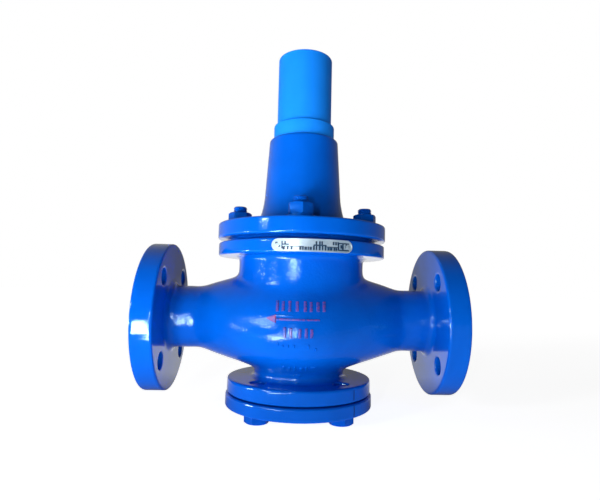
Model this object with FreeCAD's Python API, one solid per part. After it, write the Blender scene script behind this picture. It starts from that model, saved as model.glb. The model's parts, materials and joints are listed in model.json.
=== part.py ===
import FreeCAD, Part
import math
import os

# Flanged pressure reducing valve, size 50, spring loaded, with a soft seated disc and a balance piston.
# Millimetres. Levels are measured from the pipe axis, which runs along X; the inlet is at +X.
# Every piece is raised by axis_height when it is written, so that the valve stands on its cover bolts.

V = FreeCAD.Vector
UP = V(0, 0, 1)
ALONG = V(1, 0, 0)

# clearances
running_gap = 0.05        # radial, shaft in hole and thread in thread
loose_gap = 0.3           # between curved pieces that don't touch
seal_gap = 0.1            # disc seal below the closed seat
pocket_gap = 0.15         # radial, disc seal and ball in their pockets
ring_gap = 0.02           # round ring above the floor of its groove
bolt_play = 1.0           # bolt or stud in its clearance hole
washer_clear = 2.9        # washers outside the foot of the bonnet
cut_past = 1.0            # how far a cut runs on past the face that it leaves by

# pipe ends
face_to_face = 345.0
flange_r = 82.5
flange_t = 23.0
raised_face_r = 51.0
raised_face_h = 3.0
bore_r = 25.0
flange_hole_r = 9.0
flange_hole_circle_r = 62.5
flange_hole_count = 4
stub_wall = 10.0
hub_fillet = 6.0

# belly of the body
belly_reach = 113.0       # half length, where the belly meets the stubs
belly_half_height = 63.5
belly_inset = 5.4         # side of the belly inside the rim of the top flange
belly_drop = 12.0         # widest level below the pipe axis, at mid length
belly_crown_z = 30.0      # how far the round crown spreads along X, seen from the side
belly_crown_y = 45.0      # the same, seen from above
belly_overrun = 5.0       # how far the belly's ends run on inside the stubs
belly_wall = 9.0
belly_sections = 4        # each side of the middle

# upper neck and top flange of the body
neck_r = 71.7
neck_foot_z = 42.0        # the neck is straight down to here
neck_flare_h = 19.0
top_face_z = 84.2
top_flange_t = 14.7
top_flange_r = 95.4
neck_fillet = 5.0

# lower neck and bottom flange of the body
lower_neck_r = 50.8
lower_neck_h = 8.5        # straight part above the bottom flange
lower_flare_w = 7.0
bottom_flange_t = 15.5
bottom_flange_r = 81.0
lower_fillet = 5.0
lower_neck_wall = 10.8
rim_edge = 1.0            # broken edge of every cast rim
root_depth = 0.3          # how far the foot of a flare lies inside the belly
flare_bend = 0.25         # share of a flare's width at half its height

# cylinder liner in the upper neck
liner_bore_r = 45.0
liner_wall = 7.0
liner_lip_w = 5.0
liner_lip_t = 4.0
liner_h = 47.2

# web and seat
web_t = 10.0
web_slope_w = 36.0        # how far each sloping wall runs along X
web_slope_h = 50.0
web_half = 42.0
seat_bore_r = 22.0
seat_wall = 5.0
seat_lip_w = 3.0
seat_collar_w = 4.0
seat_collar_h = 6.0
seat_gasket_t = 1.0
seat_drop = 4.0           # seat face below the web

# disc
seal_t = 6.0
seal_lip_t = 2.0
seal_lip_w = 3.0
seal_overlap = 4.0        # seal inside the seat's edge
seal_margin = 4.5         # seal outside the seat's edge
holder_rim_w = 1.5
holder_t = 13.0
holder_rim_drop = 3.0
retainer_t = 3.0
disc_nut_af = 24.0
disc_nut_h = 10.0

# stem
stem_r = 8.0
stem_foot_r = 7.0
stem_top_r = 6.0
stem_collar_r = 12.0
stem_collar_t = 5.0
stem_vent_r = 2.0
vent_cross_z = 20.0
stem_foot_in_piston = 18.0

# piston
travel = 10.0             # from closed to fully open
piston_rest = 1.0         # piston above the liner's foot when the valve is fully open
piston_floor_t = 10.0
piston_h = 26.0
piston_wall = 7.0
piston_ring_r = 1.5
piston_ring_count = 2
stem_ring_r = 1.2
piston_washer_r = 12.0
piston_washer_t = 2.5
piston_nut_af = 18.0
piston_nut_h = 10.0

# balance piston and its bush
balance_r = 22.0
balance_h = 26.0
balance_stalk_r = 11.0
balance_stalk_h = 8.0
balance_ring_r = 1.5
balance_recess_r = 17.0
balance_recess_h = 8.0
bush_wall = 4.0
bush_rise = 1.9           # balance piston above its bush when closed
bush_floor_gap = 3.9      # balance piston above the cover's floor when fully open

# bottom cover
cover_gasket_t = 1.0
gasket_inside_bolts = 2.0
cover_overhang = 1.5      # rim of the cover beyond the body's bottom flange
cover_t = 14.1
cover_spigot_h = 9.5
cover_boss_wall = 7.0
cover_floor_t = 9.6
bolt_outside_neck = 11.2  # bolt centre lines from the lower neck
cover_bolt_count = 4
bolt_end_below_flange = 1.5

# M16 fasteners
m16_r = 8.0
m16_af = 24.0
m16_nut_h = 13.0
m16_head_h = 10.0
hex_face_share = 0.95     # flat end face of a nut or head, over its width across flats
m16_washer_r = 15.0
m16_washer_t = 3.0
thread_chamfer = 1.5
stud_outside_neck = 1.7   # stud centre lines from the upper neck
stud_count = 4
stud_above_nut = 7.0
stud_depth = 12.0         # in the body's top flange
stud_hole_past = 1.0      # hole below the stud's foot
stud_start_deg = -3.1     # the stud pattern is a little out of line with the pipe
nut_turn_deg = 11.0       # a corner of each nut from the line to the stem
head_turn_deg = 28.0      # the same for the heads of the cover bolts

# bonnet
bonnet_gasket_t = 1.5
gasket_setback = 1.0      # gaskets outside the bore that they seal
land_edge = 1.1           # land outside the stud holes
flange_gap = 4.4          # open gap between the two big flanges
bonnet_flange_t = 17.4
bonnet_overhang = 1.1     # rim of the bonnet flange beyond the body's
bonnet_h = 102.0          # above its flange
bonnet_top_r = 40.5
bonnet_waist_h = 40.0     # above its flange
bonnet_waist_r = 44.2
bonnet_fillet = 4.0
bonnet_sag = 0.28         # share of the flared foot's width at half its height
bonnet_top_round = 2.0
spring_room_r = 34.0
bonnet_roof_t = 4.0
boss_r = 28.7
boss_h = 16.0

# cap
cap_wall = 3.0
cap_h = 100.5
cap_top_t = 4.0
cap_collar_w = 3.7
cap_collar_h = 18.0
cap_edge = 1.2

# adjusting screw and what it pushes
screw_r = 10.0
screw_above_boss = 60.0
screw_square = 14.0
screw_square_h = 16.0
screw_tip_r = 6.0
screw_tip_h = 4.0
lock_nut_af = 30.0
lock_nut_h = 10.0
lock_washer_r = 18.0
lock_washer_t = 3.0
ball_r = 8.0
ball_seat_depth = 3.0
upper_seat_t = 8.0
upper_seat_drop = 20.0    # underside of the seat below the roof of the spring room
seat_spigot_h = 6.0
lower_seat_t = 7.0

# springs
main_wire_r = 3.5
main_mean_r = 25.5
main_turns = 9.0
return_wire_r = 0.9
return_mean_r = 13.5
return_turns = 5.0

# nameplate
plate_t = 0.8
plate_h = 12.6
plate_centre_deg = -84.6
plate_half_deg = 24.8
rivet_r = 1.2
rivet_head_r = 2.2
rivet_head_h = 0.25
rivet_depth = 4.0
rivet_inset_deg = 3.4

# levels and radii that follow from the values above
stub_r = bore_r + stub_wall
belly_half_width = top_flange_r - belly_inset
lower_bore_r = lower_neck_r - lower_neck_wall
rim_outer_x = face_to_face / 2 - raised_face_h
rim_inner_x = rim_outer_x - flange_t
neck_low_z = top_face_z - top_flange_t
liner_bottom_z = top_face_z - liner_h
liner_r = liner_bore_r + liner_wall
liner_lip_r = liner_r + liner_lip_w
seat_face_z = -web_t / 2 - seat_drop
seat_ring_r = seat_bore_r + seat_wall
seal_inner_r = seat_bore_r - seal_overlap
seal_outer_r = seat_bore_r + seat_lip_w + seal_margin
seal_top_z = seat_face_z - seal_gap
seal_floor_z = seal_top_z - seal_t
holder_top_z = seal_floor_z + seal_lip_t
retainer_top_z = holder_top_z + retainer_t
holder_bottom_z = holder_top_z - holder_t - seal_lip_t
disc_nut_bottom_z = holder_bottom_z - disc_nut_h
balance_top_z = disc_nut_bottom_z - balance_stalk_h
balance_bottom_z = balance_top_z - balance_h
bush_r = balance_r + bush_wall
bush_top_z = balance_top_z - bush_rise
bush_floor_z = balance_bottom_z - travel - bush_floor_gap
cover_bottom_z = bush_floor_z - cover_floor_t
cover_top_z = cover_bottom_z + cover_t
bottom_face_z = cover_top_z + cover_gasket_t
bottom_flange_top_z = bottom_face_z + bottom_flange_t
lower_neck_top_z = bottom_flange_top_z + lower_neck_h
cover_r = bottom_flange_r + cover_overhang
m16_hole_r = m16_r + bolt_play
cover_bolt_circle_r = lower_neck_r + bolt_outside_neck
cover_gasket_r = cover_bolt_circle_r - m16_r - gasket_inside_bolts
stud_circle_r = neck_r + stud_outside_neck
axis_height = m16_head_h - cover_bottom_z
land_z = top_face_z + bonnet_gasket_t
bonnet_flange_z = top_face_z + flange_gap
bonnet_flange_top_z = bonnet_flange_z + bonnet_flange_t
bonnet_flange_r = top_flange_r + bonnet_overhang
bonnet_land_r = stud_circle_r + m16_hole_r + land_edge
bonnet_foot_r = stud_circle_r - m16_washer_r - washer_clear
bonnet_waist_z = bonnet_flange_top_z + bonnet_waist_h
bonnet_top_z = bonnet_flange_top_z + bonnet_h
spring_room_top_z = bonnet_top_z - bonnet_roof_t
upper_seat_z = spring_room_top_z - upper_seat_drop
stud_nut_z = bonnet_flange_top_z + m16_washer_t
stud_top_z = stud_nut_z + m16_nut_h + stud_above_nut
stud_low_z = top_face_z - stud_depth
boss_top_z = bonnet_top_z + boss_h
lock_nut_z = boss_top_z + lock_washer_t
screw_top_z = boss_top_z + screw_above_boss
cap_bore_r = boss_r + loose_gap
cap_r = cap_bore_r + cap_wall
cap_collar_r = cap_r + cap_collar_w
cap_top_z = bonnet_top_z + cap_h
piston_bottom_z = liner_bottom_z + piston_rest + travel
piston_floor_z = piston_bottom_z + piston_floor_t
piston_nut_z = piston_floor_z + piston_washer_t
lower_seat_z = piston_floor_z
spring_bottom_z = lower_seat_z + lower_seat_t
ball_z = upper_seat_z + upper_seat_t - ball_seat_depth + ball_r
screw_bottom_z = ball_z + ball_r


def revolve(points, axis=UP):
    """Solid of revolution of a closed (radius, level) outline; a third value is an arc's middle point."""
    to_point = (lambda r, z: V(r, 0, z)) if axis is UP else (lambda r, x: V(x, 0, r))
    edges = []
    last = points[-1]
    for point in points:
        start = to_point(*last[:2])
        end = to_point(*point[:2])
        if len(point) == 3:
            edges.append(Part.Arc(start, to_point(*point[2]), end).toShape())
        else:
            edges.append(Part.makeLine(start, end))
        last = point
    face = Part.Face(Part.Wire(edges))
    solid = face.revolve(V(0, 0, 0), axis, 360)
    if solid.Volume < 0:
        solid.reverse()
    return solid


def disc(radius, low, high, x=0.0, y=0.0):
    return Part.makeCylinder(radius, high - low, V(x, y, low))


def ring(inner, outer, low, high, x=0.0, y=0.0):
    return disc(outer, low, high, x, y).cut(disc(inner, low, high, x, y))


def bar(radius, low, high):
    """Cylinder along the pipe axis."""
    return Part.makeCylinder(radius, high - low, V(low, 0, 0), ALONG)


def fused(shapes):
    shapes = list(shapes)
    return shapes[0].fuse(shapes[1:]).removeSplitter()


def spots(radius, count, start_deg):
    """Places of a bolt circle round the valve's vertical axis."""
    for number in range(count):
        angle = math.radians(start_deg + 360.0 * number / count)
        yield radius * math.cos(angle), radius * math.sin(angle)


def group(maker, places):
    return Part.makeCompound([maker(x, y) for x, y in places])


def hexagon(flats, low, high, x, y, low_chamfer, high_chamfer, corner_deg=30.0):
    """Hexagonal prism, its corners rounded off at the ends that are chamfered."""
    corner = flats / math.sqrt(3)
    corners = []
    for number in range(7):
        angle = math.radians(corner_deg + 60 * number)
        corners.append(V(x + corner * math.cos(angle), y + corner * math.sin(angle), low))
    prism = Part.Face(Part.makePolygon(corners)).extrude(V(0, 0, high - low))
    drop = (corner - flats / 2) * math.tan(math.radians(30))
    reach = flats / 2 * hex_face_share
    outer = corner + cut_past
    fall = drop * (outer - reach) / (corner - flats / 2)
    outline = [(0, low), (reach, low), (outer, low + fall), (outer, high - fall), (reach, high), (0, high)]
    if not low_chamfer:
        outline[1:3] = [(outer, low)]
    if not high_chamfer:
        outline[-3:-1] = [(outer, high)]
    turned = revolve(outline)
    turned.translate(V(x, y, 0))
    return prism.common(turned)


def rod(radius, low, high, x, y, low_chamfer):
    """Threaded rod with a chamfered top, and a chamfered foot where nothing is joined to it."""
    foot = [(0, low), (radius, low)]
    if low_chamfer:
        foot = [(0, low), (radius - low_chamfer, low), (radius, low + low_chamfer)]
    turned = revolve(foot + [(radius, high - thread_chamfer), (radius - thread_chamfer, high), (0, high)])
    turned.translate(V(x, y, 0))
    return turned


def round_ring(bore, wire, z):
    """Ring that lies just inside a bore."""
    return Part.makeTorus(bore - running_gap - wire, wire, V(0, 0, z))


def groove(bore, wire, z):
    floor_r = bore - running_gap - 2 * wire - ring_gap
    half = wire + ring_gap
    return ring(floor_r, bore + cut_past, z - half, z + half)


def coil(mean_r, wire, turns, low, high):
    """Compression spring with both ends ground flat."""
    pitch = (high - low) / turns
    path = Part.makeHelix(pitch, high - low, mean_r)
    section = Part.Wire(Part.makeCircle(wire, V(mean_r, 0, 0), V(0, 1, 0)))
    tube = Part.Wire(path.Edges).makePipeShell([section], True, True)
    tube.translate(V(0, 0, low))
    return tube.common(disc(mean_r + 2 * wire, low, high))


def egg_wire(x, width, widest_z, top_z, bottom_z):
    """Section across the pipe axis: half an ellipse above its widest level and half of another below."""
    upper = Part.makeCircle(1.0, V(0, 0, 0), UP, 0, 180)
    lower = Part.makeCircle(1.0, V(0, 0, 0), UP, 180, 360)
    halves = []
    for arc, height in ((upper, top_z - widest_z), (lower, widest_z - bottom_z)):
        place = FreeCAD.Matrix(0, 0, 1, x, width, 0, 0, 0, 0, height, 0, widest_z, 0, 0, 0, 1)
        halves.append(arc.transformGeometry(place))
    return Part.Wire(halves)


def belly(shrink):
    """Lens shaped belly, straight towards the stubs and round in the middle."""
    def taper(centre, end, crown, x):
        slope = (centre - end) / (math.hypot(belly_reach, crown) - crown)
        return centre - slope * (math.hypot(x, crown) - crown)
    wires = []
    for step in range(-belly_sections, belly_sections + 1):
        x = (belly_reach + belly_overrun) * step / belly_sections
        width = taper(belly_half_width, stub_r, belly_crown_y, x) - shrink
        height = taper(belly_half_height, stub_r, belly_crown_z, x) - shrink
        widest_z = -taper(belly_drop, 0, belly_crown_y, x)
        wires.append(egg_wire(x, width, widest_z, height, -height))
    return Part.makeLoft(wires, True, False)


def belly_radius(z):
    """Reach of the belly in front of the stem axis, at one level."""
    height = belly_half_height + belly_drop if z > -belly_drop else belly_half_height - belly_drop
    return belly_half_width * math.sqrt(1 - ((z + belly_drop) / height) ** 2)


def end_flange(side):
    """One end flange with its raised face, hub fillet and half of the stub."""
    points = [
        (0, 0),
        (0, face_to_face / 2),
        (raised_face_r, face_to_face / 2),
        (raised_face_r, rim_outer_x),
        (flange_r - rim_edge, rim_outer_x),
        (flange_r, rim_outer_x - rim_edge),
        (flange_r, rim_inner_x + rim_edge),
        (flange_r - rim_edge, rim_inner_x),
        (stub_r + hub_fillet, rim_inner_x),
        (stub_r, rim_inner_x - hub_fillet,
         (stub_r + hub_fillet * (1 - math.sqrt(0.5)), rim_inner_x - hub_fillet * (1 - math.sqrt(0.5)))),
        (stub_r, 0),
    ]
    shape = revolve(points, ALONG)
    holes = []
    for y, z in spots(flange_hole_circle_r, flange_hole_count, 45):
        holes.append(Part.makeCylinder(flange_hole_r, face_to_face / 2, V(stub_r, y, z), ALONG))
    shape = shape.cut(Part.makeCompound(holes))
    if side < 0:
        shape.rotate(V(0, 0, 0), UP, 180)
    return shape


def neck_outside():
    """Top flange and upper neck, with a flared foot that runs into the belly."""
    corner = neck_fillet * (1 - math.sqrt(0.5))
    foot_z = neck_foot_z - neck_flare_h
    foot_r = belly_radius(foot_z) - root_depth
    bend_r = neck_r + flare_bend * (foot_r - neck_r)
    return revolve([
        (0, 0),
        (foot_r, foot_z),
        (neck_r, neck_foot_z, (bend_r, neck_foot_z - neck_flare_h / 2)),
        (neck_r, neck_low_z - neck_fillet),
        (neck_r + neck_fillet, neck_low_z, (neck_r + corner, neck_low_z - corner)),
        (top_flange_r - rim_edge, neck_low_z),
        (top_flange_r, neck_low_z + rim_edge),
        (top_flange_r, top_face_z - rim_edge),
        (top_flange_r - rim_edge, top_face_z),
        (0, top_face_z),
    ])


def lower_neck_outside():
    """Bottom flange and lower neck, flared upwards into the belly."""
    corner = lower_fillet * (1 - math.sqrt(0.5))
    root_r = lower_neck_r + lower_flare_w
    lower_h = belly_half_height - belly_drop
    root_z = root_depth - belly_drop - lower_h * math.sqrt(1 - (root_r / belly_half_width) ** 2)
    bend_r = lower_neck_r + flare_bend * lower_flare_w
    return revolve([
        (0, bottom_face_z),
        (bottom_flange_r - rim_edge, bottom_face_z),
        (bottom_flange_r, bottom_face_z + rim_edge),
        (bottom_flange_r, bottom_flange_top_z - rim_edge),
        (bottom_flange_r - rim_edge, bottom_flange_top_z),
        (lower_neck_r + lower_fillet, bottom_flange_top_z),
        (lower_neck_r, bottom_flange_top_z + lower_fillet,
         (lower_neck_r + corner, bottom_flange_top_z + corner)),
        (lower_neck_r, lower_neck_top_z),
        (root_r, root_z, (bend_r, (lower_neck_top_z + root_z) / 2)),
        (root_r, root_z + lower_fillet),
        (0, 0),
    ])


def web():
    """S shaped wall that parts the inlet from the outlet, with a level middle for the seat ring."""
    half = web_t / 2
    side = web_half + web_slope_w
    outline = [
        (-side, -web_slope_h), (-side + web_t, -web_slope_h), (-web_half + web_t, -half),
        (web_half, -half), (side, web_slope_h), (side - web_t, web_slope_h),
        (web_half - web_t, half), (-web_half, half),
    ]
    corners = [V(x, -belly_half_width, z) for x, z in outline]
    face = Part.Face(Part.makePolygon(corners + corners[:1]))
    return face.extrude(V(0, 2 * belly_half_width, 0))


def valve_body():
    outside = fused([end_flange(1), end_flange(-1), belly(0), neck_outside(), lower_neck_outside()])
    bores = [
        bar(bore_r, -face_to_face / 2 - cut_past, face_to_face / 2 + cut_past),
        disc(liner_r, liner_bottom_z, top_face_z + cut_past),
        disc(lower_bore_r, bottom_face_z - cut_past, -web_slope_h + belly_wall),
    ]
    passage = fused([belly(belly_wall)] + bores).cut(web())
    body = outside.cut(passage)
    tools = [disc(liner_r + running_gap, liner_bottom_z, top_face_z + cut_past),
             disc(liner_lip_r + loose_gap, top_face_z - liner_lip_t, top_face_z + cut_past),
             disc(seat_ring_r + running_gap, -web_t, web_t)]
    for x, y in stud_places():
        tools.append(disc(m16_r + running_gap, stud_low_z - stud_hole_past, top_face_z + cut_past, x, y))
    for x, y in spots(cover_bolt_circle_r, cover_bolt_count, 45):
        hole_r = m16_r + running_gap
        tools.append(disc(hole_r, bottom_face_z - cut_past, bottom_flange_top_z + cut_past, x, y))
    for shape in rivets(rivet_r + running_gap):
        tools.append(shape)
    return body.cut(Part.makeCompound(tools)).removeSplitter()


def cylinder_liner():
    low = liner_bottom_z
    return revolve([
        (liner_bore_r, low), (liner_r, low), (liner_r, top_face_z - liner_lip_t),
        (liner_lip_r, top_face_z - liner_lip_t), (liner_lip_r, top_face_z), (liner_bore_r, top_face_z),
    ])


def stud_places():
    return list(spots(stud_circle_r, stud_count, stud_start_deg))


def bonnet_gasket():
    sheet = ring(liner_bore_r + gasket_setback, bonnet_land_r - gasket_setback, top_face_z, land_z)
    holes = [disc(m16_hole_r, top_face_z, land_z, x, y) for x, y in stud_places()]
    return sheet.cut(Part.makeCompound(holes))


def bonnet():
    corner = bonnet_fillet * (1 - math.sqrt(0.5))
    flare_r = bonnet_foot_r - bonnet_fillet
    mid_r = bonnet_waist_r + bonnet_sag * (flare_r - bonnet_waist_r)
    mid_z = (bonnet_waist_z + bonnet_flange_top_z + bonnet_fillet) / 2
    top_corner = bonnet_top_round * (1 - math.sqrt(0.5))
    shell = revolve([
        (0, land_z),
        (bonnet_land_r, land_z),
        (bonnet_land_r, bonnet_flange_z),
        (bonnet_flange_r - rim_edge, bonnet_flange_z),
        (bonnet_flange_r, bonnet_flange_z + rim_edge),
        (bonnet_flange_r, bonnet_flange_top_z - rim_edge),
        (bonnet_flange_r - rim_edge, bonnet_flange_top_z),
        (bonnet_foot_r, bonnet_flange_top_z),
        (flare_r, bonnet_flange_top_z + bonnet_fillet, (flare_r + corner, bonnet_flange_top_z + corner)),
        (bonnet_waist_r, bonnet_waist_z, (mid_r, mid_z)),
        (bonnet_top_r, bonnet_top_z - bonnet_top_round),
        (bonnet_top_r - bonnet_top_round, bonnet_top_z,
         (bonnet_top_r - top_corner, bonnet_top_z - top_corner)),
        (boss_r, bonnet_top_z),
        (boss_r, boss_top_z - thread_chamfer),
        (boss_r - thread_chamfer, boss_top_z),
        (0, boss_top_z),
    ])
    tools = [disc(spring_room_r, land_z - cut_past, spring_room_top_z),
             disc(screw_r + running_gap, spring_room_top_z - cut_past, boss_top_z + cut_past)]
    for x, y in stud_places():
        tools.append(disc(m16_hole_r, land_z - cut_past, bonnet_flange_top_z + cut_past, x, y))
    return shell.cut(Part.makeCompound(tools))


def bonnet_stud(x, y):
    return rod(m16_r, stud_low_z, stud_top_z, x, y, thread_chamfer)


def bonnet_washer(x, y):
    return ring(m16_r + 2 * loose_gap, m16_washer_r, bonnet_flange_top_z, stud_nut_z, x, y)


def bonnet_nut(x, y):
    corner_deg = math.degrees(math.atan2(y, x)) + nut_turn_deg
    nut = hexagon(m16_af, stud_nut_z, stud_nut_z + m16_nut_h, x, y, True, True, corner_deg)
    return nut.cut(disc(m16_r + running_gap, stud_nut_z - cut_past, stud_top_z, x, y))


def bottom_gasket():
    return ring(lower_bore_r + gasket_setback, cover_gasket_r, cover_top_z, bottom_face_z)


def bottom_cover():
    spigot_r = lower_bore_r - loose_gap
    spigot_top = cover_top_z + cover_spigot_h
    boss_outer = bush_r + cover_boss_wall
    shape = revolve([
        (0, cover_bottom_z),
        (cover_r - rim_edge, cover_bottom_z),
        (cover_r, cover_bottom_z + rim_edge),
        (cover_r, cover_top_z - rim_edge),
        (cover_r - rim_edge, cover_top_z),
        (spigot_r, cover_top_z),
        (spigot_r, spigot_top),
        (boss_outer, spigot_top),
        (boss_outer, bush_top_z),
        (bush_r + running_gap, bush_top_z),
        (bush_r + running_gap, bush_floor_z),
        (0, bush_floor_z),
    ])
    holes = []
    for x, y in spots(cover_bolt_circle_r, cover_bolt_count, 45):
        holes.append(disc(m16_hole_r, cover_bottom_z - cut_past, cover_top_z + cut_past, x, y))
    return shape.cut(Part.makeCompound(holes))


def cover_bolt(x, y):
    corner_deg = math.degrees(math.atan2(y, x)) + head_turn_deg
    head = hexagon(m16_af, cover_bottom_z - m16_head_h, cover_bottom_z, x, y, True, False, corner_deg)
    end = bottom_flange_top_z - bolt_end_below_flange
    return head.fuse(rod(m16_r, cover_bottom_z, end, x, y, 0.0)).removeSplitter()


def guide_bush():
    return ring(balance_r, bush_r, bush_floor_z, bush_top_z)


def seat_gasket():
    return ring(seat_ring_r + loose_gap, seat_ring_r + seat_collar_w, web_t / 2, web_t / 2 + seat_gasket_t)


def seat_ring():
    low = web_t / 2 + seat_gasket_t
    lip_r = seat_bore_r + seat_lip_w
    return revolve([
        (seat_bore_r, seat_face_z),
        (lip_r, seat_face_z),
        (seat_ring_r, seat_face_z + seat_wall - seat_lip_w),
        (seat_ring_r, low),
        (seat_ring_r + seat_collar_w, low),
        (seat_ring_r + seat_collar_w, low + seat_collar_h),
        (seat_bore_r, low + seat_collar_h),
    ])


def disc_seal():
    inner_lip_r = seal_inner_r - seal_lip_w
    return revolve([
        (inner_lip_r, seal_floor_z), (seal_outer_r, seal_floor_z), (seal_outer_r, seal_top_z),
        (seal_inner_r, seal_top_z), (seal_inner_r, holder_top_z), (inner_lip_r, holder_top_z),
    ])


def disc_holder():
    hole = stem_foot_r + running_gap
    pocket_r = seal_outer_r + pocket_gap
    outer = pocket_r + holder_rim_w
    inner_lip_r = seal_inner_r - seal_lip_w
    return revolve([
        (hole, holder_bottom_z),
        (outer - holder_rim_w, holder_bottom_z),
        (outer, holder_bottom_z + holder_rim_w),
        (outer, seal_top_z - holder_rim_drop),
        (pocket_r, seal_top_z - holder_rim_drop),
        (pocket_r, seal_floor_z),
        (inner_lip_r, seal_floor_z),
        (inner_lip_r, holder_top_z),
        (hole, holder_top_z),
    ])


def seal_retainer():
    return ring(stem_foot_r + running_gap, seal_inner_r - running_gap, holder_top_z, retainer_top_z)


def disc_nut():
    nut = hexagon(disc_nut_af, disc_nut_bottom_z, holder_bottom_z, 0, 0, True, False)
    hole_r = stem_foot_r + running_gap
    return nut.cut(disc(hole_r, disc_nut_bottom_z - cut_past, holder_bottom_z + cut_past))


def stem():
    foot_z = disc_nut_bottom_z - stem_foot_in_piston
    collar_top = retainer_top_z + stem_collar_t
    top_z = piston_nut_z + piston_nut_h + 2 * thread_chamfer
    shape = revolve([
        (0, foot_z),
        (stem_foot_r, foot_z),
        (stem_foot_r, retainer_top_z),
        (stem_collar_r, retainer_top_z),
        (stem_collar_r, collar_top),
        (stem_r, collar_top),
        (stem_r, piston_bottom_z),
        (stem_top_r, piston_bottom_z),
        (stem_top_r, top_z - thread_chamfer),
        (stem_top_r - thread_chamfer, top_z),
        (0, top_z),
    ])
    cross = Part.makeCylinder(stem_vent_r, 2 * stem_r, V(-stem_r, 0, vent_cross_z), ALONG)
    return shape.cut(disc(stem_vent_r, foot_z - cut_past, vent_cross_z)).cut(cross)


def piston_ring_levels():
    for number in range(piston_ring_count):
        yield piston_bottom_z + piston_h * (number + 1) / (piston_ring_count + 1)


def piston():
    outer = liner_bore_r - running_gap
    inner = outer - piston_wall
    top = piston_bottom_z + piston_h
    pocket = stem_top_r + 2 * stem_ring_r + 2 * ring_gap
    shape = revolve([
        (stem_top_r + running_gap, piston_bottom_z + 2 * stem_ring_r),
        (pocket, piston_bottom_z + 2 * stem_ring_r),
        (pocket, piston_bottom_z),
        (outer - rim_edge, piston_bottom_z),
        (outer, piston_bottom_z + rim_edge),
        (outer, top - rim_edge),
        (outer - rim_edge, top),
        (inner, top),
        (inner, piston_floor_z),
        (stem_top_r + running_gap, piston_floor_z),
    ])
    for z in piston_ring_levels():
        shape = shape.cut(groove(liner_bore_r, piston_ring_r, z))
    return shape


def piston_o_rings():
    return Part.makeCompound([round_ring(liner_bore_r, piston_ring_r, z) for z in piston_ring_levels()])


def stem_o_ring():
    wire = stem_ring_r - ring_gap
    return Part.makeTorus(stem_top_r + stem_ring_r + ring_gap, wire, V(0, 0, piston_bottom_z + stem_ring_r))


def piston_washer():
    return ring(stem_top_r + running_gap, piston_washer_r, piston_floor_z, piston_nut_z)


def piston_nut():
    top = piston_nut_z + piston_nut_h
    nut = hexagon(piston_nut_af, piston_nut_z, top, 0, 0, False, True)
    return nut.cut(disc(stem_top_r + running_gap, piston_nut_z - cut_past, top + cut_past))


def balance_piston():
    outer = balance_r - running_gap
    hole_floor = disc_nut_bottom_z - stem_foot_in_piston
    recess_top = balance_bottom_z + balance_recess_h
    shape = revolve([
        (stem_vent_r, recess_top),
        (balance_recess_r, recess_top),
        (balance_recess_r, balance_bottom_z),
        (outer, balance_bottom_z),
        (outer, balance_top_z),
        (balance_stalk_r, balance_top_z),
        (balance_stalk_r, disc_nut_bottom_z),
        (stem_foot_r + running_gap, disc_nut_bottom_z),
        (stem_foot_r + running_gap, hole_floor),
        (stem_vent_r, hole_floor),
    ])
    return shape.cut(groove(balance_r, balance_ring_r, (balance_top_z + recess_top) / 2))


def balance_o_ring():
    recess_top = balance_bottom_z + balance_recess_h
    return round_ring(balance_r, balance_ring_r, (balance_top_z + recess_top) / 2)


def return_spring():
    return coil(return_mean_r, return_wire_r, return_turns, bush_floor_z, balance_bottom_z + balance_recess_h)


def lower_spring_seat():
    hole = piston_washer_r + 2 * loose_gap
    spigot = main_mean_r - main_wire_r - loose_gap
    outer = liner_bore_r - piston_wall - 2 * loose_gap
    return revolve([
        (hole, lower_seat_z), (outer, lower_seat_z), (outer, spring_bottom_z), (spigot, spring_bottom_z),
        (spigot - rim_edge, spring_bottom_z + seat_spigot_h), (hole, spring_bottom_z + seat_spigot_h),
    ])


def main_spring():
    return coil(main_mean_r, main_wire_r, main_turns, spring_bottom_z, upper_seat_z)


def upper_spring_seat():
    spigot = main_mean_r - main_wire_r - loose_gap
    outer = spring_room_r - loose_gap
    top = upper_seat_z + upper_seat_t
    shape = revolve([
        (0, upper_seat_z - seat_spigot_h), (spigot - rim_edge, upper_seat_z - seat_spigot_h),
        (spigot, upper_seat_z), (outer, upper_seat_z), (outer, top), (0, top),
    ])
    return shape.cut(Part.makeSphere(ball_r + pocket_gap, V(0, 0, ball_z + pocket_gap)))


def thrust_ball():
    return Part.makeSphere(ball_r, V(0, 0, ball_z))


def adjusting_screw():
    square_low = screw_top_z - screw_square_h
    low = screw_bottom_z
    tip_top = low + screw_tip_h
    shank = revolve([
        (0, low), (screw_tip_r, low), (screw_tip_r, tip_top), (screw_r - thread_chamfer, tip_top),
        (screw_r, tip_top + thread_chamfer), (screw_r, square_low), (0, square_low),
    ])
    half = screw_square / 2
    square = Part.makeBox(screw_square, screw_square, screw_square_h, V(-half, -half, square_low))
    square = square.common(disc(screw_r - loose_gap, square_low, screw_top_z))
    return shank.fuse(square).removeSplitter()


def lock_washer():
    return ring(screw_r + loose_gap, lock_washer_r, boss_top_z, lock_nut_z)


def lock_nut():
    top = lock_nut_z + lock_nut_h
    nut = hexagon(lock_nut_af, lock_nut_z, top, 0, 0, True, True)
    return nut.cut(disc(screw_r + running_gap, lock_nut_z - cut_past, top + cut_past))


def cap():
    low = bonnet_top_z
    return revolve([
        (cap_bore_r, low),
        (cap_collar_r - rim_edge, low),
        (cap_collar_r, low + rim_edge),
        (cap_collar_r, low + cap_collar_h - rim_edge),
        (cap_collar_r - rim_edge, low + cap_collar_h),
        (cap_r, low + cap_collar_h),
        (cap_r, cap_top_z - cap_edge),
        (cap_r - cap_edge, cap_top_z),
        (0, cap_top_z),
        (0, cap_top_z - cap_top_t),
        (cap_bore_r, cap_top_z - cap_top_t),
    ])


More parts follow.
